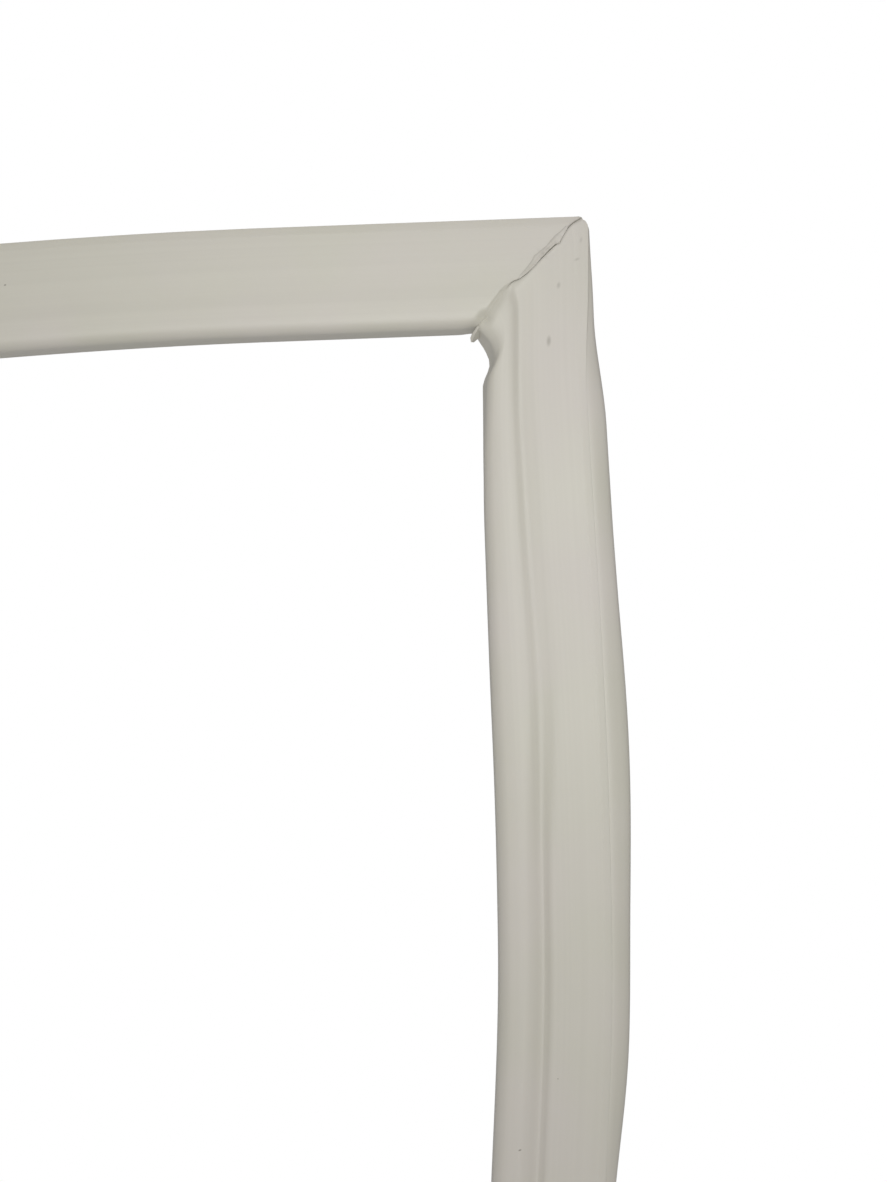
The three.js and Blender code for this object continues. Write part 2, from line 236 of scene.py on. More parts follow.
def hump(x, middle, reach):
    """Falls smoothly from 1 at its middle to 0 at its reach, on both sides."""
    share = np.clip(np.abs((x - middle) / reach), 0, 1)
    return np.cos(share * math.pi / 2) ** 2


def arc(centre, radius, start, stop):
    """Points of a round, between two angles in degrees."""
    angles = np.radians(np.linspace(start, stop, ROUND_STEPS + 1))
    return [(centre[0] + radius * math.cos(a), centre[1] + radius * math.sin(a)) for a in angles]


def mixed(a, b, share):
    """The point between two others, or the value between two others."""
    return a + (b - a) * share


def through(points, steps):
    """Smooth open line through points."""
    ends = np.concatenate([2 * points[:1] - points[1:2], points, 2 * points[-1:] - points[-2:-1]])
    line = []
    for p0, p1, p2, p3 in zip(ends, ends[1:], ends[2:], ends[3:]):
        for t in np.arange(steps) / steps:
            line.append(0.5 * (2 * p1 + (p2 - p0) * t + (2 * p0 - 5 * p1 + 4 * p2 - p3) * t ** 2
                               + (3 * p1 - p0 - 3 * p2 + p3) * t ** 3))
    return np.array([*line, points[-1]])


# The lifted fold is a full round between its tip and its root under the lip. These are its points
# from the tip, as shares of the span and the rise between the two. The relaxed fold is a slack V,
# whose points are shares of the way between its corners.
FOLD_BELOW_TIP, FOLD_ABOVE_TIP, FOLD_CROWN = (-0.2, -0.8), (-0.09, 0.66), (-0.66, 1.16)
V_BY_TIP, V_MIDDLE, V_BY_HEAD = 0.2, 0.5, 0.4


def bellows_skin(lifted, reach):
    """The outer skin of the folded wall: its lift from 0 to 1, and mm past its relaxed tip."""
    base_seat = np.array((base_outer_reach - bellows_seat_inset, base_top))
    head_seat = np.array((face_outer - bellows_seat_inset, head_bottom))
    tip = np.array((fold_tip_reach, base_top + fold_tip_height))
    root = np.array((fold_root_reach, base_top + fold_root_height))
    higher = corner_tip_rise * (1 - smooth((reach - corner_tip_reach) / corner_tip_reach))
    full_tip = np.array((fold_tip_reach + reach, base_top + lifted_tip_height + higher))
    full_root = np.array((face_outer + head_gap + bellows_wall / 2,
                          base_top + lifted_root_height))
    full_neck = np.array((face_outer + head_gap, head_bottom - neck_drop))
    size = np.array((full_tip[0] - full_root[0], full_root[1] - full_tip[1]))
    middle = through(np.array([
        base_seat,
        mixed(mixed(tip, base_seat, V_BY_TIP), full_tip + FOLD_BELOW_TIP * size, lifted),
        mixed(tip, full_tip, (1, lifted)),
        mixed(mixed(tip, root, V_BY_TIP), full_tip + FOLD_ABOVE_TIP * size, lifted),
        mixed(mixed(tip, root, V_MIDDLE), full_tip + FOLD_CROWN * size, lifted),
        mixed(root, full_root, lifted),
        mixed(mixed(root, head_seat, V_BY_HEAD), full_neck, lifted),
        head_seat,
    ]), FOLD_STEPS)
    along = np.gradient(middle, axis=0)
    along /= np.linalg.norm(along, axis=1)[:, None]
    away = np.stack([along[:, 1], -along[:, 0]], axis=1)
    return [tuple(p) for p in middle + away * bellows_wall / 2]


def foot_line():
    """Left half of the barbed foot, from the base down to its tip."""
    stem = -stem_width / 2
    line = [(stem, foot_height)]
    for width, height in barbs:
        line += [(stem, height + barb_thickness), (-width / 2, height)]
        if height > barbs[-1][1]:
            line.append((stem, height - barb_thickness))
    return line + [(-tip_width / 2, 0)]


def outline(lifted=0.0, reach=0.0, spread=0.0):
    """Corner points of the section's outer skin, anticlockwise, with the lip spread by mm."""
    step = [
        (face_inner - step_width * t, face_top - balloon_drop * float(smooth(t)))
        for t in np.linspace(0.2, 1, 5)
    ]
    top_round = (balloon_edge + balloon_lean + balloon_top_radius,
                 balloon_top - balloon_top_radius)
    foot_round = (balloon_edge + balloon_foot_radius, balloon_foot + balloon_foot_radius)
    left_foot = foot_line()
    droop = lip_droop + LIP_SAG * lifted
    return np.array([
        (face_outer + POCKET_LINE, face_top), (face_outer, face_top - POCKET_LINE_DEPTH * lifted),
        (face_outer - POCKET_LINE, face_top), (face_inner, face_top), *step,
        *arc(top_round, balloon_top_radius, 90, 175),
        *arc(foot_round, balloon_foot_radius, 180, 180 + balloon_foot_turn),
        (-base_inner_reach, foot_height + base_inner_rise),
        (-base_inner_reach + base_inner_rise, foot_height),
        *left_foot, *[(-u, v) for u, v in reversed(left_foot)],
        (base_outer_reach, foot_height), (base_outer_reach, base_top),
        *bellows_skin(lifted, reach),
        (face_outer, head_bottom), (face_outer, face_top - lip_thickness),
        (lip_tip + spread, face_top - LIP_EDGE - droop), (lip_tip + spread, face_top - droop),
    ])


def turns(points):
    """Degrees that a closed outline turns through at each point."""
    ahead = np.roll(points, -1, axis=0) - points
    back = np.roll(ahead, 1, axis=0)
    angle = np.arctan2(back[:, 0] * ahead[:, 1] - back[:, 1] * ahead[:, 0],
                       (back * ahead).sum(axis=1))
    return np.abs(np.degrees(angle))


# Every ring has the same points: which corners are rounded, and how many points each stretch
# has, is settled once, from the relaxed outline and the lifted one
relaxed, lifted_most = outline(), outline(1.0, full_reach)
SHARP = 20
is_sharp = (turns(relaxed) > SHARP) & (turns(lifted_most) > SHARP)
stretches = np.maximum(np.linalg.norm(np.roll(relaxed, -1, axis=0) - relaxed, axis=1),
                       np.linalg.norm(np.roll(lifted_most, -1, axis=0) - lifted_most, axis=1))
shows = np.minimum(relaxed[:, 1], np.roll(relaxed[:, 1], -1)) > head_bottom
stretch_counts = np.maximum(1, np.rint(stretches / np.where(shows, SKIN_SPACING, HIDDEN_SPACING)))


def skin(*shape):
    """The section's outer skin with its edges rounded and its long stretches divided."""
    corners = outline(*shape)
    before, after = np.roll(corners, 1, axis=0), np.roll(corners, -1, axis=0)
    points = []
    for p, q, r, sharp, count in zip(before, corners, after, is_sharp, stretch_counts):
        lengths = math.dist(p, q), math.dist(q, r)
        radius = min(EDGE_RADIUS, EDGE_SHARE * lengths[0], EDGE_SHARE * lengths[1]) if sharp else 0
        leave = mixed(q, r, radius / lengths[1])
        if sharp:
            arrive = mixed(q, p, radius / lengths[0])
            points += [mixed(mixed(arrive, q, t), mixed(q, leave, t), t)
                       for t in (0, 0.33, 0.67)]
        points += [mixed(leave, r, k / count) for k in range(int(count))]
    return np.array(points)


class Side:
    """One side of the loop, from its start corner along its way, with outwards to the left."""

    def __init__(self, name, corner, way):
        self.name = name
        self.corner = np.array(corner, float)
        self.way = np.array(way, float)
        self.out = np.array((-self.way[1], self.way[0]))
        self.upright = way[0] == 0
        self.length = loop_height if self.upright else loop_width
        self.mirrored = name in ("top", "left")

    def from_model_corner(self, s):
        return self.length - s if self.mirrored else s

    def bow(self, s):
        swells = side_bows if self.upright else end_bows
        return sum(rise * hump(self.from_model_corner(s), middle, reach)
                   for middle, reach, rise in swells)

    def line(self, s):
        """Places on the foot's line, and the outward way there."""
        small = 0.5
        slope = (self.bow(s + small) - self.bow(s - small)) / (2 * small)
        place = (self.corner + s[:, None] * self.way
                 + (self.bow(s) - lip_tip)[:, None] * self.out)
        out = self.out - slope[:, None] * self.way
        return place, out / np.linalg.norm(out, axis=1)[:, None]

    def fold(self, near, s):
        """Lift and reach of the bellows and spread of the lip, near mm from the closest mitre."""
        if not self.upright:
            return 0.0, 0.0, 0.0
        along = self.from_model_corner(s)
        reach = (sum(by * smooth((near - start) / over) for start, over, by in fold_steps)
                 + sum(rise * hump(along, middle, run) for middle, run, rise in fold_swells))
        drawn_in = smooth((near - lip_draws_in[0]) / lip_draws_in[1])
        spread = lip_spread * smooth(near / lip_spread_run) * (1 - drawn_in)
        return float(smooth(near / lift_run)), float(reach), float(spread)

    def laid(self, section, near):
        """The section as it lies, near mm from the closest mitre."""
        if not self.upright:
            return section.copy()
        u, v = section[:, 0], section[:, 1]
        lift = smooth((v - base_top) / bellows_height)
        spread = (1 - (1 - corner_pinch) * smooth(near / pinch_run)
                  + sum(by * smooth(near / over) for over, by in pinch_openings))
        widened = np.where(u < face_inner,
                           face_inner + (u - face_inner) * (1 + (spread - 1) * lift), u)
        roll = side_roll * smooth(near / roll_run) * lift
        up = v - base_top
        return np.stack([widened * np.cos(roll) - up * np.sin(roll),
                         widened * np.sin(roll) + up * np.cos(roll) + base_top], axis=1)


sides = [
    Side("top", (-loop_width / 2, loop_height / 2), (1, 0)),
    Side("right", (loop_width / 2, loop_height / 2), (0, -1)),
    Side("bottom", (loop_width / 2, -loop_height / 2), (-1, 0)),
    Side("left", (-loop_width / 2, -loop_height / 2), (0, 1)),
]


MITRE_ROUNDS = 6  # each round brings the two bowed sides' meeting points closer together


def mitre(before, after, section):
    """Where the mitre cuts each point of the section: s on the side before, s on the one after."""
    near = np.zeros(len(section))
    s_before = np.full(len(section), before.length - lip_tip)
    s_after = np.full(len(section), float(lip_tip))
    u_before = before.laid(section, near)[:, 0]
    u_after = after.laid(section, near)[:, 0]
    for _ in range(MITRE_ROUNDS):
        place_a, out_a = before.line(s_before)
        place_b, out_b = after.line(s_after)
        far_a = (place_a * out_a).sum(1) + u_before
        far_b = (place_b * out_b).sum(1) + u_after
        cross = out_a[:, 0] * out_b[:, 1] - out_a[:, 1] * out_b[:, 0]
        met = np.stack([far_a * out_b[:, 1] - far_b * out_a[:, 1],
                        far_b * out_a[:, 0] - far_a * out_b[:, 0]], axis=1) / cross[:, None]
        for place, out, s in ((place_a, out_a, s_before), (place_b, out_b, s_after)):
            s += ((met - place) * np.stack([out[:, 1], -out[:, 0]], axis=1)).sum(1)
    return s_before, s_after


# Distances from a mitre to the mesh's rings, which lie close by the weld, and further on the
# spacing of the rings on each side
WELD_RINGS = [0.05, 0.1, 0.16, 0.24, 0.4, 0.7, 1.1, 1.6, 2.2, 2.8, 3.5, 4.2]
CORNER_RINGS = np.concatenate([np.arange(5, 44, 1.6), np.arange(45, 85, 3.2)])
SEEN_SPACING, UNSEEN_SPACING = 5, 12

# Weld: a hair-line groove along the mitre between two low beads. It is deepest across the face
# and only a scratch across the balloon.
GROOVE_DEPTH, GROOVE_RUN = 0.2, 0.15
SCRATCH_DEPTH = 0.02
BEAD_HEIGHT, BEAD_AT, BEAD_RUN = 0.05, 0.5, 1.5


def weld_rise(near, section):
    """How far the weld's skin stands out of the section, near mm from the mitre."""
    on_face = smooth((section[:, 0] - face_inner) / step_width + 1)
    depth = mixed(SCRATCH_DEPTH, GROOVE_DEPTH, on_face)
    bead = BEAD_HEIGHT * hump(near, BEAD_AT, BEAD_RUN)
    return bead - (depth + bead) * (1 - smooth(near / GROOVE_RUN))


def skin_normals(section):
    """Outward normal at each point of the outline."""
    along = np.roll(section, -1, axis=0) - np.roll(section, 1, axis=0)
    away = np.stack([along[:, 1], -along[:, 0]], axis=1)
    return away / np.linalg.norm(away, axis=1)[:, None]


# Softness of the skin, in mm. The balloon's top is crowned, by (level side, upright side). The
# level sides have a faint rise at the face's inner edge, and a shallow trough on the face.
TOP_FADE = 1.6
CROWN_HEIGHTS = (0.04, 0.4)
CROWN_AT, CROWN_REACH = face_inner - 4.6, 5.4
FAINT_RISE, FAINT_RISE_AT, FAINT_RISE_RUN = 0.07, face_inner + 1.1, 0.9
TROUGH_DEPTH, TROUGH_AT, TROUGH_REACH = 0.04, face_inner + 4.3, 2.6

# On the upright sides a valley runs between face and balloon. It is steep first on the balloon's
# flank and later on the face's: its depths and flanks are (near the corner, further along).
VALLEY_DEPTHS = (0.6, 1.5)
VALLEY_AT = face_inner - 0.3
VALLEY_SHIFTS = [(118, 42, 0.8)]
VALLEY_SHARPNESS = 0.75
FACE_FLANKS, BALLOON_FLANKS = (5.5, 2.2), (2.7, 5)
FLANKS_CHANGE_AT, FLANKS_CHANGE_OVER = 105, 70
VALLEY_START = 2


def softened(side, near, s, section):
    """How far the top skin of a side lies above its true section."""
    u, v = section[:, 0], section[:, 1]
    on_top = smooth(v - balloon_top + TOP_FADE)
    crown = CROWN_HEIGHTS[side.upright] * hump(u, CROWN_AT, CROWN_REACH)
    level = (balloon_drop * smooth((face_inner - u) / step_width)
             * smooth((u - balloon_edge) / (2 * balloon_top_radius)))
    run = smooth(near / VALLEY_START)
    if not side.upright:
        faint = FAINT_RISE * smooth((FAINT_RISE_AT - u) / FAINT_RISE_RUN)
        trough = TROUGH_DEPTH * hump(u, TROUGH_AT, TROUGH_REACH)
        return run * on_top * (crown + level + faint - trough)
    along = side.from_model_corner(s)
    bottom = VALLEY_AT + sum(by * hump(along, middle, reach)
                             for middle, reach, by in VALLEY_SHIFTS)
    later = smooth((along - FLANKS_CHANGE_AT) / FLANKS_CHANGE_OVER)
    flank = np.where(u > bottom, mixed(*FACE_FLANKS, later), mixed(*BALLOON_FLANKS, later))
    from_bottom = (np.abs(u - bottom) / flank) ** VALLEY_SHARPNESS
    valley = mixed(*VALLEY_DEPTHS, later) * (1 - smooth(from_bottom))
    return run * on_top * (crown + level - valley)


# Tuck: just below the corner the balloon of the right side is pulled outwards, its foot more
# than its top, so its wall shows from above
TUCK_DEPTH, TUCK_RISE, TUCK_RUN = 0.5, 2.5, 6
TUCK_FOOT_DEPTH, TUCK_FOOT_AT, TUCK_FOOT_REACH = 1.9, 7.6, 6


def tucked(from_mitre, section):
    """How far outwards the tuck pulls each point of the balloon."""
    across = smooth((face_inner - step_width - section[:, 0]) / (balloon_reach - step_width))
    height = smooth((section[:, 1] - balloon_foot) / balloon_depth)
    tuck = (TUCK_DEPTH * smooth(from_mitre / TUCK_RISE)
            * (1 - smooth((from_mitre - TUCK_RISE) / TUCK_RUN)))
    foot = TUCK_FOOT_DEPTH * hump(from_mitre, TUCK_FOOT_AT, TUCK_FOOT_REACH)
    return (tuck * height + foot) * across


def ring_of(side, start, end, share, run):
    """One ring of the loop: its places, and how far each is from the closest mitre and along."""
    s = start + (end - start) * share + run
    near = np.minimum(s - start, end - s)
    section = skin(*side.fold(near.min(), s.mean()))
    raised = section + skin_normals(section) * weld_rise(near, section)[:, None]
    laid = side.laid(raised, near)
    laid[:, 1] += softened(side, near, s, section)
    if side.name == "right":
        laid[:, 0] += tucked(s - start, section)
    place, out = side.line(s)
    flat = place + out * laid[:, :1]
    return np.column_stack([flat, laid[:, 1]]), near, s


def rings():
    """All rings of the loop in order, as (places, near, s, side number)."""
    section = skin()
    mitres = [mitre(sides[i - 1], sides[i], section) for i in range(4)]
    found = []
    for i, side in enumerate(sides):
        start, end = mitres[i][1], mitres[(i + 1) % 4][0]
        seen, unseen = [*WELD_RINGS, *CORNER_RINGS], [*WELD_RINGS, *CORNER_RINGS[::2]]
        first_runs = seen if side.name == "right" else unseen
        last_runs = seen if side.name == "top" else unseen
        whole = side.length - 2 * (lip_tip - balloon_edge)
        spacing = SEEN_SPACING if side.name in ("top", "right") else UNSEEN_SPACING
        shares = np.linspace(first_runs[-1] / whole, 1 - last_runs[-1] / whole,
                             round((whole - 2 * seen[-1]) / spacing) + 1)[1:-1]
        for share, run in [(0, 0), *((0, r) for r in first_runs), *((t, 0) for t in shares),
                           *((1, -r) for r in reversed(last_runs))]:
            found.append((*ring_of(side, start, end, share, run), i))
    return found


# Line of the weld in the photograph, from the outer corner inwards, which wanders up to 1 mm off
# the straight mitre, and the dent at its inner end, with its radius and depth in mm
SEAM_PIXELS = [
    (578, 218.6), (568, 227.4), (562, 237.4), (559.4, 243), (555, 244.8), (542, 257.5),
    (527, 273.4), (519.3, 279), (512, 282), (501, 293.4), (492.7, 305), (488.6, 312.3),
]
SEAM_END = 60
WANDER_REACH, WANDER_MARGIN = 3.5, 2
TIP_RADIUS = 1.1
DENT_PIXEL, DENT_RADIUS, DENT_DEPTH = (484.5, 317), 2.4, 1.1

corner_point = np.array((loop_width, loop_height)) / 2
mitre_way = np.array((-1, -1)) / math.sqrt(2)
mitre_across = np.array((1, -1)) / math.sqrt(2)
seam_points = np.array([under_pixel(p) for p in SEAM_PIXELS]) - corner_point
seam_run = np.array([0, *(seam_points @ mitre_way), SEAM_END])
seam_off = np.array([0, *(seam_points @ mitre_across), 0])


def finished_corner(places):
    """The corner's points with the wandering weld, the dent and the trimmed, rounded tip."""
    from_tip = places[:, :2] - corner_point
    run, off = from_tip @ mitre_way, from_tip @ mitre_across
    upper = smooth((places[:, 2] - base_top) / (head_bottom - base_top))
    inside = smooth(-from_tip.max(axis=1) / WANDER_MARGIN)
    wander = (np.interp(run, seam_run, seam_off) * (1 - smooth(np.abs(off) / WANDER_REACH))
              * upper * inside)
    places[:, :2] += wander[:, None] * mitre_across
    from_dent = np.linalg.norm(places[:, :2] - under_pixel(DENT_PIXEL), axis=1)
    places[:, 2] -= DENT_DEPTH * hump(from_dent, 0, DENT_RADIUS) * upper
    centre = corner_point - TIP_RADIUS
    beyond = places[:, :2] - centre
    distance = np.linalg.norm(beyond, axis=1)
    outside = (beyond > 0).all(axis=1) & (distance > TIP_RADIUS)
    places[outside, :2] = centre + beyond[outside] * (TIP_RADIUS / distance[outside])[:, None]
    return places


def on_each_corner(places):
    """The same finish on all four corners: each quarter is mirrored onto the one in the photo."""
    signs = np.where(places[:, :2] < 0, -1, 1)
    mirrored = places.copy()
    mirrored[:, :2] *= signs
    mirrored = finished_corner(mirrored)
    mirrored[:, :2] *= signs
    return mirrored


SIDE_SHIFT = 1000  # mm, which keeps the die lines of the four sides apart

ring_list = rings()
section = skin()
ring_size = len(section)
places = on_each_corner(np.concatenate([ring[0] for ring in ring_list]))
near_mitre = np.concatenate([ring[1] for ring in ring_list])
along_side = np.concatenate([ring[2] + SIDE_SHIFT * ring[3] for ring in ring_list])
perimeter = np.cumsum([0, *np.linalg.norm(np.diff(section, axis=0), axis=1)])
across_skin = np.tile(perimeter, len(ring_list))

# The skin isn't quite even: it ripples by a few hundredths of a millimetre over a few centimetres
RIPPLE, RIPPLE_LENGTH = 0.05, 14
for k, (x, y, z) in enumerate(places):
    if z > head_bottom:
        places[k, 2] += RIPPLE * noise.noise(Vector((x, y, 0)) / RIPPLE_LENGTH)


def band_faces(rings_count, size):
    """Quads between neighbouring rings of a closed loop, facing out."""
    faces = []
    for i in range(rings_count):
        here, there = i * size, (i + 1) % rings_count * size
        for k in range(size):
            after = (k + 1) % size
            faces.append((here + k, here + after, there + after, there + k))
    return faces


# Flash: a sliver of PVC that the weld squeezed out over the top side. It is tied to the skin
# along its upper edge and stands over the groove along its lower one. In pixels of the photo.
FLASH_UPPER = [(566.5, 225), (560, 231.5), (554, 236.3), (546.4, 245.7), (538.7, 252.2),
               (534, 255.7), (531, 261.6), (525.3, 269.3), (518.7, 276.3)]
FLASH_LOWER = [(567.5, 228.5), (562.6, 237), (559.4, 243), (555, 244.8), (549.3, 249.8),
               (542, 257.5), (535, 265.7), (527, 273.4), (519.3, 279)]
FLASH_THICKNESS = 0.7
FLASH_EDGE = 0.25
FLASH_ROOT = 0.3
FLASH_STEPS = 4
FLASH_RAGGED, FLASH_RAGGED_STEP = 0.5, 0.35
FLASH_BLUNTNESS = 0.4
# Its section past the tied edge, as shares of its width and of its height
FLASH_SECTION = [(0.35, 0.4), (0.8, 1), (1, 0.8)]
FLASH_POINTS = 3 + len(FLASH_SECTION)


def bar_faces(count, size):
    """Faces of a closed bar of count sections, each with size points."""
    faces = []
    for here in range(0, size * (count - 1), size):
        there = here + size
        for k in range(size):
            after = (k + 1) % size
            faces.append((here + k, there + k, there + after, here + after))
    last = size * (count - 1)
    return faces + [tuple(range(size)), tuple(range(last + size - 1, last - 1, -1))]


def flash_mesh():
    """Points and faces of the flash: bars of a box section, from its outer to its inner end."""
    def spaced(pixels):
        line = np.array([under_pixel(p) for p in pixels])
        t = np.linspace(0, len(line) - 1, (len(line) - 1) * FLASH_STEPS + 1)
        return np.stack([np.interp(t, range(len(line)), line[:, k]) for k in (0, 1)], axis=1)

    upper, lower = spaced(FLASH_UPPER), spaced(FLASH_LOWER)
    count = len(upper)
    points = []
    for i, (a, b) in enumerate(zip(upper, lower)):
        ends = math.sin(math.pi * i / (count - 1)) ** FLASH_BLUNTNESS
        ragged = 1 + FLASH_RAGGED * noise.noise(Vector((i * FLASH_RAGGED_STEP, 0, 0)))
        lift = FLASH_THICKNESS * ends * ragged
        points.append((*a, face_top + FLASH_EDGE * ends))
        for share, height in FLASH_SECTION:
            points.append((*(a + (b - a) * share), face_top + height * lift))
        points += [(*b, face_top - FLASH_ROOT), (*a, face_top - FLASH_ROOT)]
    return np.array(points), bar_faces(count, FLASH_POINTS)


# Nib: a torn end of the flash that hangs in the inner corner, folded along its middle. In pixels
# of the photo, with the depth of each place under the face and half the nib's width there, in mm.
NIB_PATH = [((486.5, 316), 1.2, 0.3), ((483.5, 321.5), 1.6, 0.6), ((480, 326.5), 2.2, 0.9),
            ((477.3, 331), 3.2, 1.25), ((475, 335), 4.4, 1.1), ((472.8, 339), 5.6, 0.35)]
NIB_THICKNESS = 0.3
NIB_RAGGED, NIB_RAGGED_STEPS = 0.35, (1.7, 2.3)
NIB_SEED = 4
# Its section, as shares of that half width: the lit wing, the ridge and the wing folded under
NIB_SECTION = [(-1, -0.25), (-0.3, 0.3), (1, -1.1)]


def nib_mesh():
    """Points and faces of the nib: a bent sliver along its path."""
    points = []
    along_step, side_step = NIB_RAGGED_STEPS
    for i, (pixel, under, half) in enumerate(NIB_PATH):
        centre = Vector((*under_pixel(pixel), face_top - under))
        for side_way, up in NIB_SECTION:
            spot = Vector((i * along_step, side_way * side_step, NIB_SEED))
            ragged = 1 + NIB_RAGGED * noise.noise(spot)
            points.append(centre + Vector((side_way * half * ragged, 0, up * half)))
        for side_way, up in reversed(NIB_SECTION):
            points.append(centre + Vector((side_way * half, 0, up * half - NIB_THICKNESS)))
    return np.array([tuple(p) for p in points]), bar_faces(len(NIB_PATH), 2 * len(NIB_SECTION))


# The mesh carries three values for its material: mm across the skin and along the side, and how
# far a place is darkened, by painted shade in the step and on the flash's edges and by grime with
# painted shade in the weld
flash_points, flash_faces = flash_mesh()
nib_points, nib_faces = nib_mesh()
all_points = np.concatenate([places, flash_points, nib_points])
all_faces = band_faces(len(ring_list), ring_size)
all_faces += [tuple(k + len(places) for k in face) for face in flash_faces]
all_faces += [tuple(k + len(places) + len(flash_points) for k in face) for face in nib_faces]

# Painted shade lies in the step between face and balloon, and as thin shadow lines on the edges of
# the flash. Along the weld, most of all across the face, lies grime together with painted shade of
# its groove.
STEP_SHADE, STEP_SHADE_AT, STEP_SHADE_REACH = 0.08, face_inner - 0.6 * step_width, 2.2
BALLOON_WELD_GRIME_AND_SHADE, WELD_GRIME_AND_SHADE_CHANGE, WELD_GRIME_AND_SHADE_REACH = 0.15, 2, 0.9
# painted shadow lines along the flash's edges, by point of its section
FLASH_SHADOW_SHARES = [0.75, 0, 0, 0.25, 1, 1]
u, v = section[:, 0], section[:, 1]
# painted shade: the step between face and balloon is darkened
step_shade = STEP_SHADE * hump(u, STEP_SHADE_AT, STEP_SHADE_REACH) * (v > balloon_top - 1)
on_face = smooth((u - face_inner) / WELD_GRIME_AND_SHADE_CHANGE + 1)
# along the weld: grime, and painted shade of its groove
weld_grime_and_shade = np.where(v > head_bottom, mixed(BALLOON_WELD_GRIME_AND_SHADE, 1, on_face), 0)
# one darkening value: painted shade of step and flash, grime and painted shade of the weld
shade_and_grime = np.clip(np.tile(step_shade, len(ring_list))
               + hump(near_mitre, 0, WELD_GRIME_AND_SHADE_REACH) * np.tile(weld_grime_and_shade, len(ring_list)), 0, 1)
# painted shadow lines: the flash's tied edge and root are darkened
flash_shadow_lines = np.tile(FLASH_SHADOW_SHARES, len(flash_points) // FLASH_POINTS)
no_pattern = np.zeros(len(flash_points) + len(nib_points))
carried = {
    "across": np.concatenate([across_skin, no_pattern]),
    "along": np.concatenate([along_side, no_pattern]),
    "shade_and_grime": np.concatenate([shade_and_grime, flash_shadow_lines, np.zeros(len(nib_points))]),
}
CREASE_ANGLE = math.radians(42)

gasket_mesh = bpy.data.meshes.new("gasket_frame_skin")
gasket_mesh.from_pydata((all_points * MM).tolist(), [], all_faces)
for name, values in carried.items():
    layer = gasket_mesh.attributes.new(name, "FLOAT", "POINT")
    layer.data.foreach_set("value", values)
gasket_mesh.shade_smooth()
gasket_mesh.set_sharp_from_angle(angle=CREASE_ANGLE)

# Soft PVC, extruded through a die and cooled in air: a warm off-white with a low satin gloss,
# slightly clear in depth. The die draws faint lines along it, and handling has left it a little
# uneven in tint, with grime in the weld and a few dark marks. Its colour also carries painted shade:
# in the step, along the flash's edges, in the weld's groove and in a few shallow dents.
soft_pvc = bpy.data.materials.new("soft_pvc_extruded")
soft_pvc.use_nodes = True
pvc_shader = soft_pvc.node_tree.nodes["Principled BSDF"]
pvc_shader.inputs["IOR"].default_value = 1.53
pvc_shader.inputs["Subsurface Weight"].default_value = 0.06
pvc_shader.inputs["Subsurface Radius"].default_value = (1.0, 0.9, 0.7)
pvc_shader.inputs["Subsurface Scale"].default_value = 0.8 * MM

PVC_TINTS, PVC_TINT_STOPS = ("cbc9be", "cfcbc4"), (0.35, 0.65)
# the colour that grime and painted shade darken towards
GRIME_AND_SHADE_COLOUR = "5f5b4c"
PVC_ROUGHNESS = (0.44, 0.58)
DIE_LINE_SPACING, DIE_LINE_LENGTH = 1.1, 260  # mm
DIE_LINE_SHADES = (0.985, 1.01)
DIE_LINE_DEPTH, GRAIN_DEPTH = 0.012, 0.006  # mm
MOTTLE_SIZE = 38  # mm
GRAIN_SIZE = 0.5  # mm, coarser than the real skin's so that it shows at all
# how far the mesh's painted shade and weld grime darken the skin
GRIME_AND_SHADE_STRENGTH = 0.4
NOISE_LOW, NOISE_HIGH = 0.3, 0.7  # nearly all of a noise texture's values lie between these

across_value = node(soft_pvc, "ShaderNodeAttribute", attribute_name="across").outputs["Fac"]
along_value = node(soft_pvc, "ShaderNodeAttribute", attribute_name="along").outputs["Fac"]
# darkening by painted shade and weld grime, carried on the mesh
shade_and_grime_value = node(soft_pvc, "ShaderNodeAttribute", attribute_name="shade_and_grime").outputs["Fac"]
place = node(soft_pvc, "ShaderNodeTexCoord").outputs["Object"]
across_scaled = node(soft_pvc, "ShaderNodeMath", {0: across_value, 1: 1 / DIE_LINE_SPACING},
                     operation="MULTIPLY")
along_scaled = node(soft_pvc, "ShaderNodeMath", {0: along_value, 1: 1 / DIE_LINE_LENGTH},
                    operation="MULTIPLY")
drawn = node(soft_pvc, "ShaderNodeCombineXYZ",
             {"X": across_scaled.outputs[0], "Y": along_scaled.outputs[0]})
die_lines = node(soft_pvc, "ShaderNodeTexNoise",
                 {"Vector": drawn.outputs[0], "Scale": 1, "Detail": 2, "Roughness": 0.45})
mottle = node(soft_pvc, "ShaderNodeTexNoise",
              {"Vector": place, "Scale": 1 / (MOTTLE_SIZE * MM), "Detail": 2, "Roughness": 0.5})
grain = node(soft_pvc, "ShaderNodeTexNoise",
             {"Vector": place, "Scale": 1 / (GRAIN_SIZE * MM), "Detail": 2})

tint = node(soft_pvc, "ShaderNodeValToRGB", {"Fac": mottle.outputs["Fac"]})
for stop, position, colour in zip(tint.color_ramp.elements, PVC_TINT_STOPS, PVC_TINTS):
    stop.position = position
    stop.color = from_hex(colour)
lines_shade = node(soft_pvc, "ShaderNodeMapRange",
                   {"Value": die_lines.outputs["Fac"], "From Min": NOISE_LOW, "From Max": NOISE_HIGH,
                    "To Min": DIE_LINE_SHADES[0], "To Max": DIE_LINE_SHADES[1]})
lined = node(soft_pvc, "ShaderNodeVectorMath",
             {0: tint.outputs["Color"], "Scale": lines_shade.outputs[0]}, operation="SCALE")
